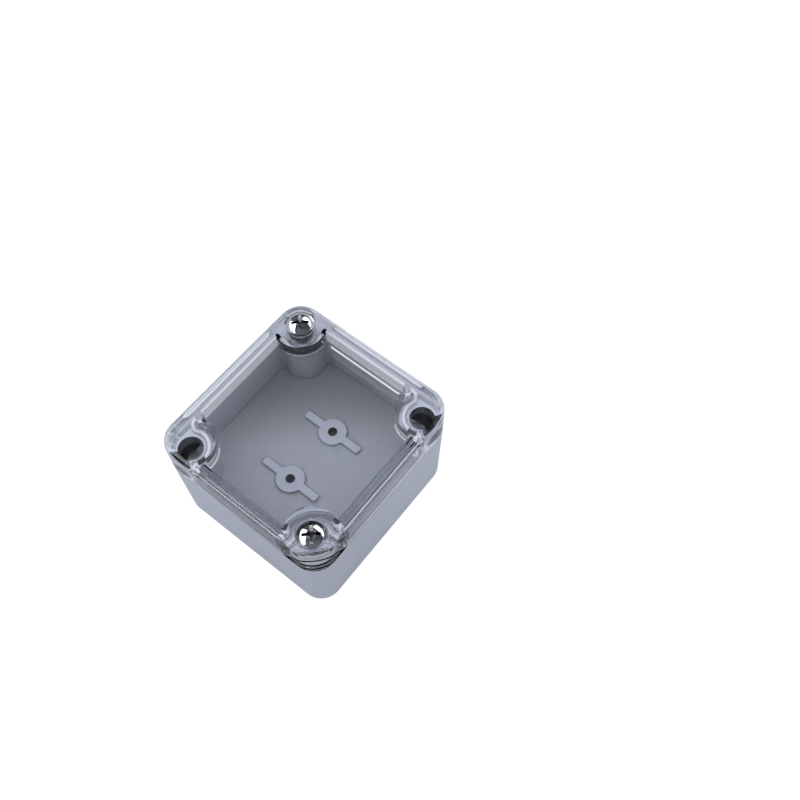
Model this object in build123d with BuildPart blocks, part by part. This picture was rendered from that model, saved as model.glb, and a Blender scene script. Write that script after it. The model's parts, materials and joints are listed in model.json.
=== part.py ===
from build123d import *
from math import atan2, copysign, degrees, radians, tan
import os

# Small sealed enclosure with a clear screw-down lid.
# All sizes are millimetres and all angles degrees.
# The origin is the middle of the underside, X runs along the longer side, Z is up.

# Outside of the two shells
length = 52.0
width = 50.0
base_height = 24.0
lid_height = 11.0
corner_radius = 6.0
base_draft = 1.2
foot_chamfer = 0.8
lid_edge_radius = 1.5
joint_edge_chamfer = 0.2

# Walls and chamber
wall = 2.2
floor_thickness = 2.5
window_thickness = 2.5
column_inset = 5.5
column_radius = 5.7
column_blend = 1.0

# Seal between the shells
groove_width = 1.0
groove_depth = 1.2
gasket_side_clearance = 0.05

# Ribs that locate the lid in the base
rib_thickness = 1.0
rib_reach = 2.0
rib_clearance = 0.2
rib_gap_at_mount = 7.6
rib_gap_at_screw = 6.6
crescent_half_angle_at_mount = 51.0
crescent_half_angle_at_screw = 57.0

# Pockets in the lid above the wall-mounting holes
pocket_outer_wall = 1.6
pocket_seal_wall = 0.8

# Wall-mounting holes
mount_well_radius = 3.2
mount_hole_radius = 1.8
mount_seat_thickness = 4.5

# Circuit board standoffs
standoff_spacing = 16.6
standoff_radius = 3.65
standoff_height = 1.0
standoff_web_width = 2.0
standoff_web_length = 17.5
standoff_web_round = 0.6
standoff_pilot_radius = 1.25
standoff_pilot_depth = 2.4

# Lid screws, which are M4
thread_radius = 1.95
screw_length = 12.0
head_radius = 3.6
head_rim_height = 2.2
head_height = 3.8
recess_span = 4.4
recess_slot_width = 0.9
recess_depth = 1.8
recess_taper = 9.0
counterbore_radius = 3.85
counterbore_depth = 8.0
lid_hole_radius = 2.3

# Nylon sleeve between each screw head and the bottom of its counterbore
ring_radius = 3.3
ring_height = 4.0
ring_fit = 0.05

# Brass inserts
insert_radius = 2.9
insert_length = 6.4
insert_side_clearance = 0.02
insert_fit = 0.05
screw_tip_room = 5.6

# Places that follow from the sizes above
total_height = base_height + lid_height
column_x = length / 2 - column_inset
column_y = width / 2 - column_inset
seal_shift = wall / 2
window_underside = total_height - window_thickness
screw_seat = total_height - counterbore_depth
head_underside = screw_seat + ring_height
crown_rise = head_height - head_rim_height
crown_radius = (head_radius**2 + crown_rise**2) / (2 * crown_rise)
insert_bottom = base_height - insert_length
insert_bore_radius = thread_radius + insert_fit
ring_bore_radius = thread_radius + ring_fit
rib_end = base_height - rib_reach

screw_places = {"rear": (column_x, column_y), "front": (-column_x, -column_y)}
mount_places = [(column_x, -column_y), (-column_x, column_y)]


def chamber_outline(shift=0.0):
    """Plan of the chamber: a rectangle that passes inside all four corner columns.

    It is moved out by shift, or in where shift is negative, with every arc kept concentric.
    """
    with BuildSketch() as outline:
        Rectangle(length - 2 * wall, width - 2 * wall)
        with GridLocations(length, width, 2, 2):
            Rectangle(2 * column_inset, 2 * column_inset, mode=Mode.SUBTRACT)
        with GridLocations(2 * column_x, 2 * column_y, 2, 2):
            Circle(column_radius, mode=Mode.SUBTRACT)
        fillet(outline.vertices(), radius=column_blend)
        if shift:
            offset(amount=shift)
    return outline.sketch


def seal_band(band_width):
    """Closed band of the given width along the middle of the seal."""
    with BuildSketch() as band:
        add(chamber_outline(seal_shift + band_width / 2))
        add(chamber_outline(seal_shift - band_width / 2), mode=Mode.SUBTRACT)
    return band.sketch


def rib_windows():
    """The stretches of the chamber's outline that carry a locating rib."""
    run_x = 2 * column_x - rib_gap_at_mount - rib_gap_at_screw
    run_y = 2 * column_y - rib_gap_at_mount - rib_gap_at_screw
    middle = (rib_gap_at_mount - rib_gap_at_screw) / 2
    sector_reach = column_radius + rib_clearance + 2 * rib_thickness
    corners = [(place, crescent_half_angle_at_mount) for place in mount_places]
    corners += [(place, crescent_half_angle_at_screw) for place in screw_places.values()]
    with BuildSketch() as windows:
        with Locations((middle, width / 2 - column_inset), (-middle, column_inset - width / 2)):
            Rectangle(run_x, 2 * column_inset)
        with Locations((length / 2 - column_inset, middle), (column_inset - length / 2, -middle)):
            Rectangle(2 * column_inset, run_y)
        for (corner_x, corner_y), half_angle in corners:
            inward = degrees(atan2(-copysign(1, corner_y), -copysign(1, corner_x)))
            sector_edge = sector_reach * tan(radians(half_angle))
            with Locations(Location((corner_x, corner_y, 0), (0, 0, inward))):
                Polygon(
                    (0, 0),
                    (sector_reach, -sector_edge),
                    (sector_reach, sector_edge),
                    align=None,
                )
    return windows.sketch


def rib_band():
    """Plan of the locating ribs, which stand on the inner face of the lid's wall."""
    with BuildSketch() as band:
        add(chamber_outline(-rib_clearance))
        add(chamber_outline(-rib_clearance - rib_thickness), mode=Mode.SUBTRACT)
        add(rib_windows(), mode=Mode.INTERSECT)
    return band.sketch


def mount_pockets():
    """Plan of the two pockets between the lid's outer wall and the seal wall."""
    with BuildSketch() as pockets:
        RectangleRounded(
            length - 2 * pocket_outer_wall,
            width - 2 * pocket_outer_wall,
            corner_radius - pocket_outer_wall,
        )
        add(chamber_outline(seal_shift + pocket_seal_wall), mode=Mode.SUBTRACT)
        with Locations(*screw_places.values()):
            Rectangle(4 * column_inset, 4 * column_inset, mode=Mode.SUBTRACT)
    return pockets.sketch


chamber_plan = chamber_outline()
lid_chamber_plan = chamber_outline(-rib_clearance)
groove_plan = seal_band(groove_width)
gasket_plan = seal_band(groove_width - 2 * gasket_side_clearance)
rib_plan = rib_band()
pocket_plan = mount_pockets()

os.makedirs("parts", exist_ok=True)

# Base housing: tapered box with four corner columns, two of them bored for wall screws
with BuildPart() as base_housing:
    with BuildSketch(Plane.XY.offset(base_height)):
        RectangleRounded(length, width, corner_radius)
    extrude(amount=-base_height, taper=base_draft)
    chamfer(base_housing.faces().sort_by(Axis.Z)[0].edges(), length=foot_chamfer)
    chamfer(base_housing.faces().sort_by(Axis.Z)[-1].edges(), length=joint_edge_chamfer)
    with BuildSketch(Plane.XY.offset(base_height)):
        add(chamber_plan)
    extrude(amount=floor_thickness - base_height, mode=Mode.SUBTRACT)
    with Locations(*[(x, y, base_height) for x, y in mount_places]):
        CounterBoreHole(
            radius=mount_hole_radius,
            counter_bore_radius=mount_well_radius,
            counter_bore_depth=base_height - mount_seat_thickness,
        )
    with Locations(*[(x, y, base_height) for x, y in screw_places.values()]):
        Hole(radius=insert_radius + insert_side_clearance, depth=insert_length)
        Hole(radius=lid_hole_radius, depth=insert_length + screw_tip_room)
    with BuildSketch(Plane.XY.offset(floor_thickness)):
        with GridLocations(standoff_spacing, 0, 2, 1):
            RectangleRounded(standoff_web_width, standoff_web_length, standoff_web_round)
            Circle(standoff_radius)
    extrude(amount=standoff_height)
    with Locations((0, 0, floor_thickness + standoff_height)):
        with GridLocations(standoff_spacing, 0, 2, 1):
            Hole(radius=standoff_pilot_radius, depth=standoff_pilot_depth)

base_housing.part.label = "base_housing"
export_step(base_housing.part, "parts/base_housing.step")

# Clear lid: window, outer wall, seal walls round the mounting holes, bosses and ribs
with BuildPart() as clear_lid:
    with BuildSketch(Plane.XY.offset(base_height)):
        RectangleRounded(length, width, corner_radius)
    extrude(amount=lid_height)
    fillet(clear_lid.faces().sort_by(Axis.Z)[-1].edges(), radius=lid_edge_radius)
    chamfer(clear_lid.faces().sort_by(Axis.Z)[0].edges(), length=joint_edge_chamfer)
    with BuildSketch(Plane.XY.offset(base_height)):
        add(lid_chamber_plan)
    extrude(amount=window_underside - base_height, mode=Mode.SUBTRACT)
    with BuildSketch(Plane.XY.offset(base_height)):
        add(pocket_plan)
    extrude(amount=window_underside - base_height, mode=Mode.SUBTRACT)
    with BuildSketch(Plane.XY.offset(base_height)):
        add(groove_plan)
    extrude(amount=groove_depth, mode=Mode.SUBTRACT)
    with BuildSketch(Plane.XY.offset(rib_end)):
        add(rib_plan)
    extrude(amount=window_underside - rib_end)
    with Locations(*[(x, y, total_height) for x, y in screw_places.values()]):
        CounterBoreHole(
            radius=lid_hole_radius,
            counter_bore_radius=counterbore_radius,
            counter_bore_depth=counterbore_depth,
        )

clear_lid.part.label = "clear_lid"
export_step(clear_lid.part, "parts/clear_lid.step")

# Gasket: one closed loop that fills the lid's groove and bears on the top of the base
with BuildPart() as lid_gasket:
    with BuildSketch(Plane.XY.offset(base_height)):
        add(gasket_plan)
    extrude(amount=groove_depth)

lid_gasket.part.label = "lid_gasket"
export_step(lid_gasket.part, "parts/lid_gasket.step")

for place, (screw_x, screw_y) in screw_places.items():
    profile_plane = Plane(origin=(screw_x, screw_y, 0), x_dir=(1, 0, 0), z_dir=(0, -1, 0))
    screw_axis = Axis((screw_x, screw_y, 0), (0, 0, 1))

    # Lid screw: domed head with a cross recess on a plain shank
    with BuildPart() as lid_screw:
        with BuildSketch(profile_plane):
            with BuildLine():
                Polyline(
                    (0, head_underside - screw_length),
                    (thread_radius, head_underside - screw_length),
                    (thread_radius, head_underside),
                    (head_radius, head_underside),
                    (head_radius, head_underside + head_rim_height),
                )
                RadiusArc(
                    (head_radius, head_underside + head_rim_height),
                    (0, head_underside + head_height),
                    radius=-crown_radius,
                )
                Line((0, head_underside + head_height), (0, head_underside - screw_length))
            make_face()
        revolve(axis=screw_axis)
        with BuildSketch(Plane((screw_x, screw_y, head_underside + head_height))):
            Rectangle(recess_span, recess_slot_width)
            Rectangle(recess_slot_width, recess_span)
        extrude(amount=-recess_depth, taper=recess_taper, mode=Mode.SUBTRACT)

    lid_screw.part.label = f"lid_screw_{place}"
    export_step(lid_screw.part, f"parts/lid_screw_{place}.step")

    # Nylon sleeve that carries the head on the bottom of the counterbore
    with BuildPart() as screw_ring:
        with BuildSketch(profile_plane):
            with Locations((ring_bore_radius, screw_seat)):
                Rectangle(ring_radius - ring_bore_radius, ring_height, align=Align.MIN)
        revolve(axis=screw_axis)

    screw_ring.part.label = f"screw_ring_{place}"
    export_step(screw_ring.part, f"parts/screw_ring_{place}.step")

    # Brass insert: a plain sleeve, flush with the top of its column
    with BuildPart() as threaded_insert:
        with BuildSketch(profile_plane):
            with Locations((insert_bore_radius, insert_bottom)):
                Rectangle(insert_radius - insert_bore_radius, insert_length, align=Align.MIN)
        revolve(axis=screw_axis)

    threaded_insert.part.label = f"threaded_insert_{place}"
    export_step(threaded_insert.part, f"parts/threaded_insert_{place}.step")
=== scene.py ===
import json
import math

import bpy
import numpy as np
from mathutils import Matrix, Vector


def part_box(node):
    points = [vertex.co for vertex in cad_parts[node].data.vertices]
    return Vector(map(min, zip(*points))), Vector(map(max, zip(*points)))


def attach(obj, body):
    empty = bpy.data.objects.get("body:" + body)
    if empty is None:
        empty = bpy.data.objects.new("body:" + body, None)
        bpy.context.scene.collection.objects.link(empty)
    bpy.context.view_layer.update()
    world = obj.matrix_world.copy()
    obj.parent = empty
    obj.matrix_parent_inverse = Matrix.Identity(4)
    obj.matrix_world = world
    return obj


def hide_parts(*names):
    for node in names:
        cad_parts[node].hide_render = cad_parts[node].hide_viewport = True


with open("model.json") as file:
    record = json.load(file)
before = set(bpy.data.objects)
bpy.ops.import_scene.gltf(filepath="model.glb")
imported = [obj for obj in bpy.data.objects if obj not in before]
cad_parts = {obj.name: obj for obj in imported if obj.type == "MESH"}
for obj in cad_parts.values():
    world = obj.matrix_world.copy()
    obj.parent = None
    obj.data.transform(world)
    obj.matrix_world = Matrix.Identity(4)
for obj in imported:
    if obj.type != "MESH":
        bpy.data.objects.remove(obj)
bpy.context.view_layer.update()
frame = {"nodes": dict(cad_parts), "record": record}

# Lengths below are millimetres; MM turns them into the frame's metres.
MM = 0.001
TAU = 2 * math.pi

# Outside of the two shells, from the frame
lid_low, lid_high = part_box("clear_lid")
length = (lid_high.x - lid_low.x) / MM
width = (lid_high.y - lid_low.y) / MM
total_height = lid_high.z / MM
base_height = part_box("base_housing")[1].z / MM
corner_radius = 6.0
lid_edge_radius = 1.5

# Chamber and seal
wall = 2.2
column_inset = 5.5
column_radius = 5.7
column_blend = 1.0
column_x, column_y = length / 2 - column_inset, width / 2 - column_inset
seal_shift = wall / 2
rib_end = lid_low.z / MM

# Wall-mounting holes, and the lid's pockets over them
well_radius = 3.2
pocket_radius = 3.95
pocket_outer_wall = 1.6
pocket_reach = 8.0

# Circuit board standoffs
standoff_x = 8.3
standoff_top = 3.5
standoff_radius = 3.65
web_width = 2.0
web_length = 17.5
pilot_radius = 1.25

# Lid screws
head_radius = 3.6
head_height = 3.8
head_rim_height = 2.6
head_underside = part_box("screw_ring_rear")[1].z / MM
crown_rise = head_height - head_rim_height
crown_radius = (head_radius**2 + crown_rise**2) / (2 * crown_rise)
crown_centre = head_underside + head_height - crown_radius
screw_length = 12.0
thread_radius = 1.95
thread_pitch = 0.7
thread_depth = 0.42
recess_half_span = 2.2
recess_half_slot = 0.37
recess_depth = 1.8
core_radius = 0.95
recess_turn = 42.5

# Brass inserts
insert_radius = 2.9
knurl_ridges = 28
knurl_depth = 0.16

# Places round a lid screw, as distances from its axis, and the painted dark arcs on the lid's screw corners
counterbore_reach = 4.0
boss_reach = 7.2
front_reach = 12.0
painted_arc_reach = 9.0
painted_arc_half_span = 7.2
painted_arc_half_thickness = 0.45
painted_arc_rises = (0.2, 1.8, 4.3, 7.4)

# The photograph looks this way in the plan, from the front screw to the rear one
rearward_x, rearward_y = 0.79, 0.62
# How far its line of sight moves in the plan for each millimetre of height, once bent by the lid
sight_lean = 0.317


# Shader nodes


class Value:
    """A shader socket that takes part in arithmetic: an operator on it adds its Math node."""

    def __init__(self, nodes, socket):
        self.nodes = nodes
        self.socket = socket

    def math(self, operation, *operands):
        return self.nodes.node("ShaderNodeMath", {"operation": operation}, dict(enumerate(operands)))

    def output(self, name):
        """Another output of the node that this value comes from."""
        return Value(self.nodes, self.socket.node.outputs[name])

    def __add__(self, other):
        return self.math("ADD", self, other)

    __radd__ = __add__

    def __sub__(self, other):
        return self.math("SUBTRACT", self, other)

    def __rsub__(self, other):
        return self.math("SUBTRACT", other, self)

    def __mul__(self, other):
        return self.math("MULTIPLY", self, other)

    __rmul__ = __mul__

    def __truediv__(self, other):
        return self.math("DIVIDE", self, other)

    def __pow__(self, other):
        return self.math("POWER", self, other)

    def __abs__(self):
        return self.math("ABSOLUTE", self)

    def __gt__(self, other):
        return self.math("GREATER_THAN", self, other)

    def __lt__(self, other):
        return self.math("LESS_THAN", self, other)

    def at_least(self, other):
        return self.math("MAXIMUM", self, other)


class Nodes:
    """A node tree of a material or of the world."""

    def __init__(self, owner):
        owner.use_nodes = True
        self.tree = owner.node_tree

    def plug(self, slot, operand):
        """Links a value to a slot, or sets the slot's own value."""
        if isinstance(operand, Value):
            self.tree.links.new(operand.socket, slot)
        else:
            slot.default_value = operand

    def node(self, kind, settings=None, sockets=None, result=0):
        """Adds a node, sets its settings and then its sockets, and returns one of its outputs."""
        made = self.tree.nodes.new(kind)
        for name, setting in (settings or {}).items():
            setattr(made, name, setting)
        for name, operand in (sockets or {}).items():
            self.plug(made.inputs[name], operand)
        return Value(self, made.outputs[result])

    def ramp(self, value, low, high):
        """Runs smoothly from 0 to 1 while the value goes from low to high."""
        return self.node(
            "ShaderNodeMapRange",
            {"interpolation_type": "SMOOTHSTEP"},
            {"Value": value, "From Min": low, "From Max": high},
        )

    def tint(self, share, first, second):
        """Mixes two colours by a share."""
        return self.node("ShaderNodeMix", {"data_type": "RGBA"}, {0: share, 6: first, 7: second}, 2)

    def blend(self, share, first, second):
        """Mixes two shaders by a share."""
        return self.node("ShaderNodeMixShader", None, {0: share, 1: first, 2: second})

    def glow(self, colour, strength):
        """Light of one colour and strength."""
        return self.node("ShaderNodeEmission", None, {"Color": colour, "Strength": strength})

    def part(self, vector, axis):
        """One of a vector's X, Y and Z."""
        return self.node("ShaderNodeSeparateXYZ", None, {0: vector}, axis)


def past(coordinate, distance):
    """How far a coordinate lies beyond a distance from the middle, on either side, in metres."""
    return abs(coordinate) - distance * MM


class Finish(Nodes):
    """A material with one Principled shader."""

    def __init__(self, name, **constants):
        self.material = bpy.data.materials.new(name)
        super().__init__(self.material)
        self.shader = self.tree.nodes["Principled BSDF"]
        self.output = self.tree.nodes["Material Output"]
        self.set(**constants)
        self.place = self.node("ShaderNodeTexCoord", result="Object")

    def set(self, **sockets):
        for name, operand in sockets.items():
            self.plug(self.shader.inputs[name.replace("_", " ")], operand)

    def across(self):
        return self.part(self.place, "X")

    def along(self):
        return self.part(self.place, "Y")

    def height(self):
        return self.part(self.place, "Z")

    def rearward(self):
        """Distance from the middle along the photograph's direction of view in the plan."""
        return rearward_x * self.across() + rearward_y * self.along()

    def from_column(self):
        """Distance from the axis of the nearest corner column."""
        return (past(self.across(), column_x) ** 2.0 + past(self.along(), column_y) ** 2.0) ** 0.5

    def noise(self, grain, detail=2.0, roughness=0.5):
        """Noise whose grains are about this many millimetres across."""
        return self.node(
            "ShaderNodeTexNoise",
            None,
            {"Vector": self.place, "Scale": 1 / (grain * MM), "Detail": detail, "Roughness": roughness},
        )

    def bump(self, height, depth):
        """Raises the surface by height times depth, in millimetres."""
        self.set(Normal=self.node("ShaderNodeBump", None, {"Height": height, "Distance": depth * MM}))


# Materials


def housing_plastic():
    """Light grey moulded plastic: a fine eroded grain, faint flow mottling and a few soft rubbed patches.

    The chamber is a little warmer, and painted shade darkens it towards the rear. Painted light makes the
    rim paler at the corners, the standoffs have painted light on their tops and painted shade on their
    sides and feet, and the wells and pilot holes are painted dark as shade.
    """
    grey, mottled_grey = (0.435, 0.463, 0.560, 1), (0.465, 0.494, 0.596, 1)
    rubbed_grey = (0.50, 0.528, 0.630, 1)
    # Painted light on the rim's corners and the standoffs' tops; painted shade on the standoffs' sides and in
    # the holes
    painted_rim_light = (0.60, 0.63, 0.75, 1)
    painted_standoff_shade, painted_standoff_light = (0.28, 0.30, 0.36, 1), (0.54, 0.572, 0.685, 1)
    painted_hole_shade = (0.075, 0.078, 0.096, 1)
    # Painted shade: the chamber darkens towards the rear, more on the floor than on the walls
    painted_shade_reach = 20.0
    wall_painted_shade, floor_painted_shade = 0.14, 0.22

    finish = Finish("housing_plastic", IOR=1.5)
    grain = finish.noise(0.16, 3.0, 0.6)
    mottle = finish.noise(6.0, 3.0)
    rubbed = finish.ramp(finish.noise(1.8, 4.0, 0.65), 0.55, 0.75)
    wear_and_painted_shade = finish.tint(rubbed * 0.25, finish.tint(mottle, grey, mottled_grey), rubbed_grey)

    across, along, height = finish.across(), finish.along(), finish.height()
    within = (past(across, length / 2 - wall + 0.2) < 0.0) * (past(along, width / 2 - wall + 0.2) < 0.0)
    within = within * (height > 2.0 * MM) * (height < (base_height - 0.05) * MM)
    on_floor = height < (standoff_top + 0.1) * MM
    # Painted shade: a warmer tint, scaled darker towards the rear, inside the chamber
    far = finish.ramp(finish.rearward(), 0.0, painted_shade_reach * MM)
    painted_shade = 1 - far * (wall_painted_shade + floor_painted_shade * on_floor)
    warmer = finish.node("ShaderNodeVectorMath", {"operation": "MULTIPLY"}, {0: wear_and_painted_shade, 1: (1.0, 0.995, 0.93)})
    warmer_with_painted_shade = finish.node("ShaderNodeVectorMath", {"operation": "SCALE"}, {0: warmer, "Scale": painted_shade})
    wear_and_painted_shade = finish.tint(within, wear_and_painted_shade, warmer_with_painted_shade)

    from_pilot = (past(across, standoff_x) ** 2.0 + along**2.0) ** 0.5

    def near_standoff(room):
        """Inside the outline of a standoff and its web, widened by a room."""
        web = abs(past(across, standoff_x)) < (web_width / 2 + room) * MM
        web = web * (abs(along) < (web_length / 2 + room) * MM)
        return (from_pilot < (standoff_radius + room) * MM).at_least(web)

    on_standoff = near_standoff(0.1) * (height > (standoff_top - 0.9) * MM)
    on_top = on_standoff * (height > (standoff_top - 0.03) * MM)
    foot_shadow_share = near_standoff(0.5) * within * on_floor
    rim_light_share = (height > (base_height - 0.03) * MM) * finish.ramp(finish.from_column(), 7.5 * MM, 5.5 * MM)
    in_well = (finish.from_column() < (well_radius + 0.1) * MM) * (across * along < 0.0)
    in_well = in_well * (height < (base_height - 0.1) * MM)
    in_pilot = (from_pilot < (pilot_radius + 0.1) * MM) * (height < (standoff_top - 0.1) * MM)
    # Painted shadow round the standoffs' feet, painted shade on their sides, painted light on their tops and
    # on the rim's corners, and painted shade in the wells and pilot holes
    with_painted_light_and_shade = finish.tint(0.5 * foot_shadow_share, wear_and_painted_shade, painted_standoff_shade)
    with_painted_light_and_shade = finish.tint(on_standoff, with_painted_light_and_shade, painted_standoff_shade)
    with_painted_light_and_shade = finish.tint(on_top, with_painted_light_and_shade, painted_standoff_light)
    with_painted_light_and_shade = finish.tint(rim_light_share, with_painted_light_and_shade, painted_rim_light)
    finish.set(Base_Color=finish.tint(in_well.at_least(in_pilot), with_painted_light_and_shade, painted_hole_shade))
    finish.set(Roughness=0.46 + 0.08 * grain - 0.08 * rubbed)
    finish.bump(grain + 0.25 * mottle, 0.012)
    return finish.material


def clear_plastic():
    """Clear lid: its outside and its upright inner faces bend and mirror light as solid plastic does.

    The level faces inside it are almost unseen, and so are the pockets over the wells, the far ribs and
    the walls of the counterbores. Where light has turned inside it more often than a depth limit set for
    each region, it is painted black: painted shade that makes the dark crescents of a thick clear
    moulding. The painted dark arcs on its screw corners show only from above. The far side has a
    painted pale glow for light that has turned twice, and some feet of the ribs have painted white
    highlights.
    """
    clear = (0.985, 0.99, 1.0, 1)
    painted_far_glow, painted_foot_highlight = (0.86, 0.90, 1.0, 1), (0.95, 0.97, 1.0, 1)
    shadow_tint = (0.93, 0.935, 0.945, 1)
    skin = 0.4
    deepest_turn = 3.5
    front_turns = 4

    finish = Finish("clear_plastic", Base_Color=clear, Roughness=0.0, IOR=1.55, Transmission_Weight=1.0)
    across, along, height = finish.across(), finish.along(), finish.height()
    from_column, rearward = finish.from_column(), finish.rearward()
    mount_half, screw_half = across * along < 0.0, across * along > 0.0
    past_x = past(across, length / 2 - corner_radius).at_least(0.0)
    past_y = past(along, width / 2 - corner_radius).at_least(0.0)
    inset = corner_radius * MM - (past_x * past_x + past_y * past_y) ** 0.5
    side = inset < skin * MM
    top = height > (total_height - 0.05) * MM
    edge = (height > (total_height - lid_edge_radius - 0.05) * MM) * (inset < (lid_edge_radius + 0.15) * MM)

    # Faces that bend light
    by_screw = screw_half * (from_column < boss_reach * MM)
    bore_wall = by_screw * (from_column < counterbore_reach * MM)
    bore_wall = bore_wall * (height < head_underside * MM).at_least(across > 0.0)
    far_rib = (height < (base_height - 0.02) * MM) * (rearward > 0.0)
    climb = sight_lean * (height - base_height * MM)
    off_x = past(across + rearward_x * climb, column_x)
    off_y = past(along + rearward_y * climb, column_y)
    over_well = (off_x**2.0 + off_y**2.0) ** 0.5 < (well_radius + 0.3) * MM
    by_well = (from_column < pocket_radius * MM).at_least(over_well) * mount_half
    by_well = by_well * (inset > (pocket_outer_wall + 0.2) * MM)
    pocket_wall = (inset > (pocket_outer_wall - 0.2) * MM) * (inset < (pocket_outer_wall + 0.5) * MM)
    pocket_wall = pocket_wall * mount_half * (from_column < pocket_reach * MM)
    slope = finish.part(finish.node("ShaderNodeNewGeometry", result="True Normal"), "Z")
    upright = (abs(slope) < 0.5) * (1 - by_well) * (1 - pocket_wall)
    bending = upright.at_least(by_screw) * (1 - bore_wall) * (1 - far_rib)
    bending = side.at_least(top).at_least(edge).at_least(bending)
    facing = finish.node("ShaderNodeLayerWeight", None, {"Blend": 0.35}, "Facing")
    unseen = (1 - bending) * (0.94 - 0.45 * facing**3.0)
    through = finish.node("ShaderNodeBsdfTransparent")
    seen = finish.blend(unseen, Value(finish, finish.shader.outputs[0]), through)

    # Painted pale glow on the far side, and painted black, standing for shade, where light has turned too
    # many times
    path = finish.node("ShaderNodeLightPath", result="Ray Depth")
    far_side = side * (rearward > 0.0) * (path > 1.5)
    seen = finish.blend(far_side, seen, finish.glow(painted_far_glow, 0.52))
    rear = by_screw * (across > 0.0)
    front = (across < 0.0) * (along < 0.0) * (from_column < front_reach * MM)
    painted_black_after_turns = path > deepest_turn - rear + front_turns * front

    # Painted dark arcs: each is a parabola over the middle of a screw corner
    skew = math.sqrt(0.5) * (past(across, column_x) - past(along, column_y)) / (painted_arc_half_span * MM)
    bow = (1 - skew * skew) * side * screw_half * (from_column < painted_arc_reach * MM)
    arcs = 0.0
    for rise in painted_arc_rises:
        arcs = (abs(height - (base_height * MM + rise * MM * bow)) < painted_arc_half_thickness * MM).at_least(arcs)
    upward = finish.node("ShaderNodeCombineXYZ", None, {"Z": 1.0})
    level_view = finish.node("ShaderNodeLayerWeight", None, {"Blend": 0.5, "Normal": upward}, "Facing")
    arcs = arcs * (bow > 0.0) * (path < 0.5) * (level_view < 0.3)
    # Painted black, as shade, over the arcs and where light has turned too often
    kept = finish.blend(painted_black_after_turns.at_least(arcs), seen, finish.glow((0, 0, 0, 1), 0.0))

    # Painted white highlights on the feet of the far right rib and of the crescents' near halves
    well_side = rearward_x - column_y / column_x * rearward_y
    nearer = mount_half * (from_column < 7.6 * MM) * (rearward - well_side * across < 0.0)
    far_edge = (across > 20 * MM) * (from_column > 8.0 * MM)
    rib_foot_highlight = (height < (rib_end + 0.1) * MM) * far_edge.at_least(nearer)
    kept = finish.blend(rib_foot_highlight, kept, finish.glow(painted_foot_highlight, 0.95))

    passing = path.output("Is Shadow Ray").at_least(path.output("Is Diffuse Ray"))
    pale = finish.node("ShaderNodeBsdfTransparent", None, {"Color": shadow_tint})
    finish.plug(finish.output.inputs["Surface"], finish.blend(passing, kept, pale))
    return finish.material


def gasket_foam():
    """Pale soft seal: matt, with closed pores."""
    finish = Finish("gasket_foam", Roughness=0.75)
    pores = finish.noise(0.12, 3.0, 0.7)
    finish.set(Base_Color=finish.tint(pores, (0.72, 0.74, 0.81, 1), (0.84, 0.86, 0.92, 1)))
    finish.bump(pores, 0.03)
    return finish.material


def natural_nylon():
    """Milky nylon: smooth and a little uneven where it was moulded.

    The rear sleeve has painted shade, near black, on its side that faces the chamber.
    """
    finish = Finish("natural_nylon", IOR=1.53)
    cloud = finish.noise(1.4, 3.0, 0.6)
    milky = finish.tint(cloud, (0.52, 0.54, 0.61, 1), (0.62, 0.64, 0.71, 1))
    # Painted shade, near black, on the rear sleeve where it faces the chamber
    outward = past(finish.across(), column_x) + past(finish.along(), column_y)
    chamber_side_shade = finish.ramp(outward, 1.0 * MM, -0.5 * MM) * (finish.across() > 0.0)
    finish.set(Base_Color=finish.tint(chamber_side_shade, milky, (0.03, 0.03, 0.035, 1)))
    finish.set(Roughness=0.28 + 0.14 * cloud)
    finish.bump(cloud, 0.01)
    return finish.material


def plated_steel():
    """Bright plated screw: mirror-like, with soft unevenness and fine rubs.

    Its recess is dull and painted dark as shade, painted blackest at the ends of one pair of arms; at the
    ends of the other it has a painted pale reflection of the sky.
    """
    bright_steel, rubbed_steel = (0.76, 0.79, 0.87, 1), (0.64, 0.67, 0.74, 1)
    # Painted shade in the recess and its slits, and a painted pale reflection of the sky
    painted_recess_shade, painted_recess_grey = (0.10, 0.10, 0.13, 1), (0.42, 0.43, 0.50, 1)
    painted_slit_shadow, painted_sky_reflection = (0.01, 0.01, 0.012, 1), (0.86, 0.87, 0.90, 1)

    finish = Finish("plated_steel")
    wave = finish.noise(1.2, 2.0)
    rubs = finish.ramp(finish.noise(0.25, 5.0, 0.75), 0.45, 0.75)
    from_axis, height = finish.from_column(), finish.height()
    from_crown = (from_axis**2.0 + (height - crown_centre * MM) ** 2.0) ** 0.5
    recess_floor = head_underside + head_height - recess_depth - 0.3
    recess = (from_crown < (crown_radius - 0.08) * MM) * (from_axis < (recess_half_span + 0.1) * MM)
    recess = recess * (height > recess_floor * MM)
    turn = math.radians(recess_turn)
    past_x, past_y = past(finish.across(), column_x), past(finish.along(), column_y)
    # Painted black shade along one pair of arms, and a painted sky reflection, not metallic, along the other
    slit_shadow_share = finish.ramp(abs(math.sin(turn) * past_x - math.cos(turn) * past_y), 0.85 * MM, 1.15 * MM)
    sky_reflection_share = recess * finish.ramp(abs(math.cos(turn) * past_x + math.sin(turn) * past_y), 1.0 * MM, 1.5 * MM)
    inside = finish.tint(slit_shadow_share, finish.tint(wave, painted_recess_shade, painted_recess_grey), painted_slit_shadow)
    inside = finish.tint(sky_reflection_share, inside, painted_sky_reflection)
    finish.set(Base_Color=finish.tint(recess, finish.tint(rubs, bright_steel, rubbed_steel), inside))
    finish.set(Metallic=1 - sky_reflection_share)
    finish.set(Roughness=0.07 + 0.06 * rubs + 0.25 * recess)
    finish.bump(wave, 0.03)
    return finish.material


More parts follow.
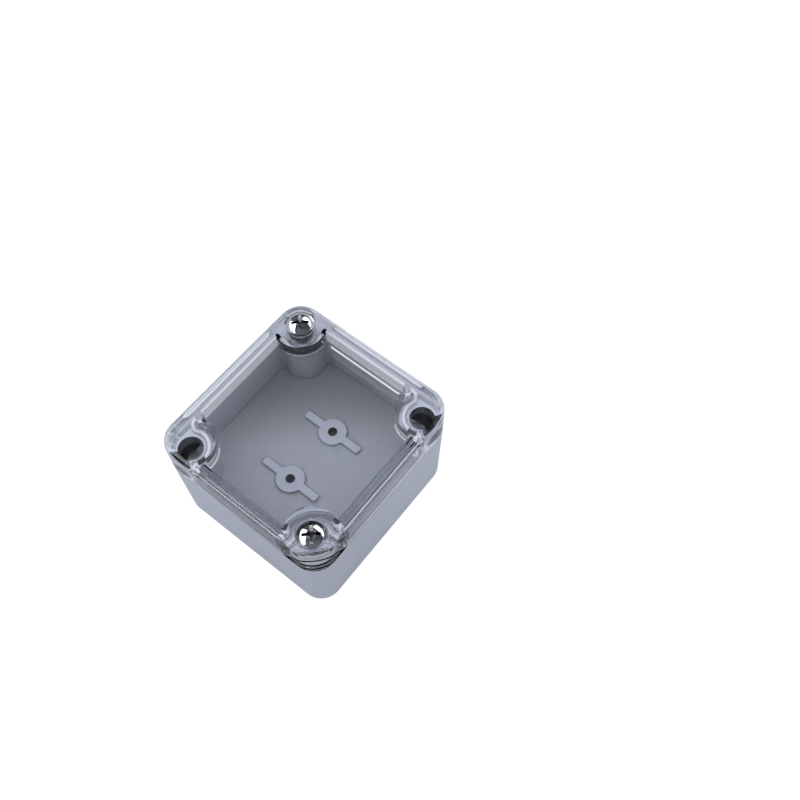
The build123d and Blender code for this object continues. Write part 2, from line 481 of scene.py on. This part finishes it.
def plated_brass():
    """Nickel-plated brass: a warm grey metal with slightly dulled patches."""
    finish = Finish("plated_brass", Metallic=1.0)
    dull = finish.noise(0.8, 3.0)
    finish.set(Base_Color=finish.tint(dull, (0.66, 0.65, 0.61, 1), (0.50, 0.49, 0.46, 1)))
    finish.set(Roughness=0.22 + 0.18 * dull)
    finish.bump(finish.noise(0.08, 2.0), 0.006)
    return finish.material


materials = {
    make.__name__: make()
    for make in (housing_plastic, clear_plastic, gasket_foam, natural_nylon, plated_steel, plated_brass)
}


def dress(piece, slot):
    piece.data.materials.clear()
    piece.data.materials.append(materials[slot])


for part in frame["record"]["subparts"]:
    dress(frame["nodes"][part["node"]], part["material_slot"])


# Surfaces


def signed_volume(points, corners):
    """Volume inside triangles, positive where they face outwards: a sixth of their triple products' sum."""
    first, second, third = (points[corners[:, k]] for k in range(3))
    return np.einsum("ij,ij->", first, np.cross(second, third)) / 6


def surface(name, grid, closed_rows=False, sharp_angle=40.0):
    """Closed skin over a grid of points, in millimetres, given as rows by columns by x, y, z.

    Columns always join up into a ring. Rows join up too where closed_rows is true, as on a torus;
    otherwise each end row is closed by a fan of triangles round its middle.
    """
    rows, columns = grid.shape[:2]
    points = grid.reshape(-1, 3)
    index = np.arange(rows * columns).reshape(rows, columns)
    after = np.roll(index, -1, axis=1)
    lower, upper = (index, np.roll(index, -1, axis=0)) if closed_rows else (index[:-1], index[1:])
    lower_after, upper_after = (after, np.roll(after, -1, axis=0)) if closed_rows else (after[:-1], after[1:])
    quads = np.stack([lower, lower_after, upper_after, upper], axis=-1).reshape(-1, 4)
    fans = np.empty((0, 3), int)
    if not closed_rows:
        start, end = len(points), len(points) + 1
        points = np.vstack([points, grid[0].mean(0), grid[-1].mean(0)])
        first_fan = np.stack([after[0], index[0], np.full(columns, start)], axis=-1)
        last_fan = np.stack([index[-1], after[-1], np.full(columns, end)], axis=-1)
        fans = np.vstack([first_fan, last_fan])
    triangles = np.vstack([quads[:, :3], quads[:, [0, 2, 3]], fans])
    if signed_volume(points, triangles) < 0:
        quads, fans = quads[:, ::-1], fans[:, ::-1]
    mesh = bpy.data.meshes.new(name)
    mesh.from_pydata((points * MM).tolist(), [], quads.tolist() + fans.tolist())
    mesh.shade_smooth()
    mesh.set_sharp_from_angle(angle=math.radians(sharp_angle))
    piece = bpy.data.objects.new(name, mesh)
    bpy.context.scene.collection.objects.link(piece)
    return piece


def stand_for(piece, node, body, slot):
    """The piece is shown in place of a CAD node, on the node's body and in its finish."""
    dress(piece, slot)
    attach(piece, body)
    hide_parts(node)


def turned(radius, height, angle, axis_x, axis_y):
    """Points at a radius, height and angle round an upright axis; the three broadcast together."""
    radius, height, angle = np.broadcast_arrays(radius, height, angle)
    return np.stack([axis_x + radius * np.cos(angle), axis_y + radius * np.sin(angle), height], axis=-1)


def smooth(x):
    """Smooth step from 0 to 1 while x goes from 0 to 1."""
    x = np.clip(x, 0, 1)
    return x * x * (3 - 2 * x)


def thread_wave(height, angle):
    """Height of a right-hand thread, 0 at its root and 1 at its crest, with both cut flat."""
    turn = (height / thread_pitch - angle / TAU) % 1
    return np.clip(1.35 * (1 - np.abs(2 * turn - 1)) - 0.15, 0, 1)


def superellipse(turn, across, high, exponent):
    """Superellipse: half its size times the signed cosine or sine of turn to the power 2 / exponent."""
    power = 2 / exponent
    reach = across / 2 * np.sign(np.cos(turn)) * np.abs(np.cos(turn)) ** power
    rise = high / 2 * np.sign(np.sin(turn)) * np.abs(np.sin(turn)) ** power
    return reach, rise


def lid_screw(name, x, y):
    """Domed cross-recess screw as one skin, from the bottom of its recess to the tip of its shank.

    Angle runs round the axis. The other parameter runs through the recess floor, the tapered walls
    of the cross, the dome, the rounded rim, the underside, the threaded shank and the chamfered tip.
    The cross at an angle reaches min(span / cos, slot / sin) of the angle folded into 0 to 45 degrees,
    and never less than the round core.
    """
    columns = 176
    rim_round, underside_round, lip = 0.25, 0.2, 0.07
    rim_radius = head_radius - rim_round
    spin = np.arange(columns) * TAU / columns
    angle = spin + math.radians(recess_turn)
    folded = np.abs((spin + TAU / 8) % (TAU / 4) - TAU / 8)

    def cross(depth_share):
        """Radius of the cross at every angle, from its mouth at 0 to its foot at 1."""
        span = recess_half_span * (1 - 0.30 * depth_share)
        slot = recess_half_slot * (1 - 0.18 * depth_share)
        core = core_radius * (1 - 0.45 * depth_share)
        return np.maximum(np.minimum(span / np.cos(folded), slot / np.maximum(np.sin(folded), 1e-6)), core)

    def dome(radius):
        """Height of the head's dome, which is part of a sphere."""
        return crown_centre + np.sqrt(crown_radius**2 - radius**2)

    recess_bottom = head_underside + head_height - recess_depth
    mouth = cross(0.0)
    foot = cross(1.0)
    rings = []
    for share in (0.12, 0.5, 0.9):
        rings.append((foot * share, recess_bottom - 0.18 * (1 - share)))
    for share in np.linspace(0, 1, 7):
        height = recess_bottom + (dome(mouth) - 0.05 - recess_bottom) * share
        rings.append((foot + (mouth - foot) * share, height))
    for share in np.linspace(0, 1, 13):
        radius = (mouth + lip) + (rim_radius - mouth - lip) * share
        rings.append((radius, dome(radius)))
    rim_top = dome(rim_radius)
    for turn in np.radians((25, 50, 70, 90)):
        rings.append((rim_radius + rim_round * np.sin(turn), rim_top - rim_round * (1 - np.cos(turn))))
    for turn in np.radians((0, 30, 60, 90)):
        drop = underside_round * (1 - np.sin(turn))
        rings.append((head_radius - underside_round * (1 - np.cos(turn)), head_underside + drop))
    rings.append((thread_radius + 0.25, head_underside))
    rings.append((thread_radius + 0.02, head_underside - 0.1))
    tip = head_underside - screw_length
    tip_chamfer = 0.55
    thread_start, runout = head_underside - 1.2, 0.8
    for height in np.arange(head_underside - 0.2, tip + 0.05, -thread_pitch / 8):
        depth = thread_depth * smooth((thread_start - height) / runout + 0.5)
        radius = thread_radius - depth * (1 - thread_wave(height, angle))
        rings.append((np.minimum(radius, thread_radius - tip_chamfer + (height - tip)), height))
    rings.append((thread_radius - tip_chamfer - 0.07, tip))
    rings.append((0.6, tip))
    grid = np.stack([turned(radius, height, angle, x, y) for radius, height in rings])
    return surface(name, grid, sharp_angle=50.0)


def nylon_sleeve(name, node):
    """Sleeve: a superellipse of exponent 8, as wide and high as the CAD sleeve, carried round its axis."""
    low, high = (np.array(corner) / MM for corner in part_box(node))
    x, y = (low + high)[:2] / 2
    outer = (high[0] - low[0]) / 2
    inner = thread_radius + 0.05
    angle = np.arange(96) * TAU / 96
    turn = (np.arange(40) * TAU / 40)[:, None]
    reach, rise = superellipse(turn, outer - inner, high[2] - low[2], 8)
    ring = turned((outer + inner) / 2 + reach, (low[2] + high[2]) / 2 + rise, angle, x, y)
    return surface(name, ring, True, 60.0)


def knurled_insert(name, node):
    """Brass insert: two bands of diamond knurl outside, a groove between them and a thread cut into the bore.

    The profile runs down the outside and up the bore as one loop. The knurl's depth at an angle and
    height is the smaller of two crossed sine ridges.
    """
    low, high = (np.array(corner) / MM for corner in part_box(node))
    x, y = (low + high)[:2] / 2
    columns = knurl_ridges * 6
    angle = np.arange(columns) * TAU / columns
    bottom, top = low[2], high[2]
    lead = 0.25
    plain_top, plain_bottom, plain_middle = 0.5, 0.3, 0.35
    groove_depth, groove_half_width = 0.35, 0.25
    ridge_slant = 2.2
    rings = [(insert_radius - lead, top)]
    middle = (top + bottom) / 2
    for height in np.linspace(top - lead, bottom + lead, 44):
        band = smooth((abs(height - middle) - plain_middle) / 0.15)
        band = band * smooth((top - height - plain_top) / 0.1)
        band = band * smooth((height - bottom - plain_bottom) / 0.1)
        swing = (height - middle) * ridge_slant
        ridges = np.minimum(
            np.abs(np.sin(knurl_ridges / 2 * angle + swing)), np.abs(np.sin(knurl_ridges / 2 * angle - swing))
        )
        groove = groove_depth * (1 - smooth((abs(height - middle) - groove_half_width) / 0.1))
        rings.append((insert_radius - groove - knurl_depth * band * (1 - ridges), height))
    rings.append((insert_radius - lead, bottom))
    bore, mouth_chamfer, bore_thread_depth = thread_radius + 0.05, 0.3, 0.28
    rings.append((bore + mouth_chamfer, bottom))
    for height in np.arange(bottom + mouth_chamfer, top - mouth_chamfer, thread_pitch / 8):
        rings.append((bore + bore_thread_depth * (1 - thread_wave(height, angle)), height))
    rings.append((bore + mouth_chamfer, top))
    grid = np.stack([turned(radius, height, angle, x, y) for radius, height in rings])
    return surface(name, grid, True, 50.0)


def seal_loop(shift):
    """Points and outward directions along the chamber's outline moved out by shift.

    One corner is three arcs, each concentric whatever the shift: a blend on the end wall, the arc
    round the column, which bulges inwards, and a blend on the side wall. The other corners mirror it.
    """
    wall_x, wall_y = length / 2 - wall, width / 2 - wall
    apart = column_radius + column_blend
    step_x = wall_x - column_blend - column_x
    step_y = wall_y - column_blend - column_y
    first = np.array([wall_x - column_blend, column_y - math.sqrt(apart**2 - step_x**2)])
    last = np.array([column_x - math.sqrt(apart**2 - step_y**2), wall_y - column_blend])
    column = np.array([column_x, column_y])
    blend_radius = column_blend + shift
    bulge_radius = column_radius - shift
    leave = math.atan2(*(column - first)[::-1])
    join = math.atan2(*(column - last)[::-1])

    blend_points, column_points = 14, 24

    def arc(centre, radius, start, end, count, side):
        """An arc's points, and its directions away from the chamber, where side is -1 for a bulge inwards."""
        turn = np.linspace(start, end, count)
        away = np.stack([np.cos(turn), np.sin(turn)], axis=-1)
        return centre + radius * away, side * away

    arcs = [
        arc(first, blend_radius, 0, leave, blend_points, 1),
        arc(column, bulge_radius, leave - math.pi, join - math.pi, column_points, -1),
        arc(last, blend_radius, join, math.pi / 2, blend_points, 1),
    ]
    points = np.vstack([line[0] for line in arcs])
    away = np.vstack([line[1] for line in arcs])
    # Two arcs share the point where they meet, so it is kept once
    keep = np.ones(len(points), bool)
    keep[[blend_points, blend_points + column_points]] = False
    corner = np.hstack([points, away])[keep]
    flip_x, flip_y = np.array([-1, 1, -1, 1]), np.array([1, -1, 1, -1])
    loop = np.vstack([corner, (corner * flip_x)[::-1], corner * flip_x * flip_y, (corner * flip_y)[::-1]])
    return loop[:, :2], loop[:, 2:]


def seal_bead(name, node):
    """Gasket: a rounded bead, a superellipse of exponent 4, carried along the middle of the seal."""
    low, high = (np.array(corner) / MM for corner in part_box(node))
    bead_width = high[0] - low[0] - (length - 2 * (wall - seal_shift))
    points, away = seal_loop(seal_shift)
    turn = (np.arange(24) * TAU / 24)[:, None, None]
    reach, rise = superellipse(turn, bead_width, high[2] - low[2], 4)
    plan = points[None] + reach * away[None]
    height = np.broadcast_to((low[2] + high[2]) / 2 + rise, plan.shape[:2] + (1,))
    return surface(name, np.concatenate([plan, height], axis=-1), True, 60.0)


for place in ("rear", "front"):
    screw, ring, insert = f"lid_screw_{place}", f"screw_ring_{place}", f"threaded_insert_{place}"
    low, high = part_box(f"lid_screw_{place}")
    axis_x, axis_y = (low.x + high.x) / 2 / MM, (low.y + high.y) / 2 / MM
    stand_for(lid_screw(f"cross_screw_{place}", axis_x, axis_y), screw, f"screw_{place}", "plated_steel")
    stand_for(nylon_sleeve(f"nylon_sleeve_{place}", ring), ring, f"ring_{place}", "natural_nylon")
    stand_for(knurled_insert(f"knurled_insert_{place}", insert), insert, "base", "plated_brass")
stand_for(seal_bead("seal_bead", "lid_gasket"), "lid_gasket", "lid", "gasket_foam")


# Floor: matt paper for soft light, white for the camera, and dim for light that the object mirrors or bends

floor_reach = 3.0
floor_corners = [(x * floor_reach, y * floor_reach, 0) for x, y in ((-1, -1), (1, -1), (1, 1), (-1, 1))]
floor_mesh = bpy.data.meshes.new("floor")
floor_mesh.from_pydata(floor_corners, [], [(0, 1, 2, 3)])
floor = bpy.data.objects.new("floor", floor_mesh)
bpy.context.scene.collection.objects.link(floor)

shade_tint = (0.84, 0.88, 1.0, 1)
paper = bpy.data.materials.new("paper")
sheet = Nodes(paper)
ray = sheet.node("ShaderNodeLightPath", result="Is Camera Ray")
spot = sheet.node("ShaderNodeTexCoord", result="Object")
rearward = rearward_x * sheet.part(spot, "X") + rearward_y * sheet.part(spot, "Y")
behind = sheet.ramp(rearward, -0.03, 0.0) * (ray.output("Ray Depth") < 2.5)
shade = sheet.blend(behind, sheet.glow(shade_tint, 0.18), sheet.glow(shade_tint, 0.60))
matt = sheet.node("ShaderNodeBsdfDiffuse", None, {"Color": (0.9, 0.9, 0.91, 1)})
direct = sheet.blend(0.85 * ray, matt, sheet.glow((1, 1, 1, 1), 1.1))
turned_ray = ray.output("Is Glossy Ray").at_least(ray.output("Is Transmission Ray"))
sheet.plug(paper.node_tree.nodes["Material Output"].inputs["Surface"], sheet.blend(turned_ray, direct, shade))
floor_mesh.materials.append(paper)


# Studio: a soft dome for matt faces, white for the camera, and dim surroundings for mirrored and bent light

sky_strength = 2.0
world = bpy.data.worlds.new("studio")
bpy.context.scene.world = world
studio = Nodes(world)
direction = studio.node("ShaderNodeTexCoord", result="Generated")
toward_x, toward_y, toward_z = (studio.part(direction, axis) for axis in "XYZ")
dome = 0.70 + 0.72 * toward_z**2.0 - 0.10 * toward_x + 0.12 * toward_y - 0.9 * toward_x * toward_y
rearward = rearward_x * toward_x + rearward_y * toward_y
mirrored = 0.16 - 0.09 * studio.ramp(toward_z, 0.2, 0.7) * studio.ramp(rearward, -0.6, 0.2)
matt_ray = studio.node("ShaderNodeLightPath", result="Is Diffuse Ray")
camera_ray = matt_ray.output("Is Camera Ray")
strength = matt_ray * dome + camera_ray + (1 - matt_ray - camera_ray) * mirrored
night = studio.node("ShaderNodeBackground", None, {"Strength": 0.0})
day = studio.node("ShaderNodeBackground", None, {"Color": (0.975, 0.985, 1.0, 1), "Strength": sky_strength})
sky = studio.blend(strength / sky_strength, night, day)
studio.plug(world.node_tree.nodes["World Output"].inputs["Surface"], sky)
world.cycles.sampling_method = "NONE"


def mirrored_panel(name, azimuth, elevation, size):
    """A bright rectangle that only shiny faces mirror, turned to the object from an azimuth and elevation.

    The angles are degrees. The lamp's power follows from its radiance: pi times its area times the radiance.
    """
    distance = 0.6
    radiance = 2.6
    lamp = bpy.data.lights.new(name, "AREA")
    lamp.shape = "RECTANGLE"
    lamp.size, lamp.size_y = size
    lamp.energy = math.pi * size[0] * size[1] * radiance
    lamp.color = (0.96, 0.98, 1.0)
    holder = bpy.data.objects.new(name, lamp)
    bpy.context.scene.collection.objects.link(holder)
    turn, rise = math.radians(azimuth), math.radians(elevation)
    away = Vector((math.cos(turn) * math.cos(rise), math.sin(turn) * math.cos(rise), math.sin(rise)))
    holder.location = away * distance + Vector((0, 0, total_height * MM / 2))
    holder.rotation_euler = (-away).to_track_quat("-Z", "Y").to_euler()
    holder.visible_diffuse = False


mirrored_panel("panel_left", 118, 34, (0.74, 0.66))
mirrored_panel("panel_right", -4, 22, (0.75, 0.60))


# Camera, in the photograph's place

camera_data = bpy.data.cameras.new("camera")
camera_data.lens = 42.08
camera_data.sensor_width = 36.0
camera_data.clip_start = 0.005
camera = bpy.data.objects.new("camera", camera_data)
bpy.context.scene.collection.objects.link(camera)
camera.location = (-0.06546, -0.07995, 0.23294)
pitch, heading = math.radians(61.72), math.radians(51.92)
camera.rotation_euler = (math.pi / 2 - pitch, 0, -heading)
bpy.context.scene.camera = camera
bpy.context.scene.view_settings.view_transform = "Standard"
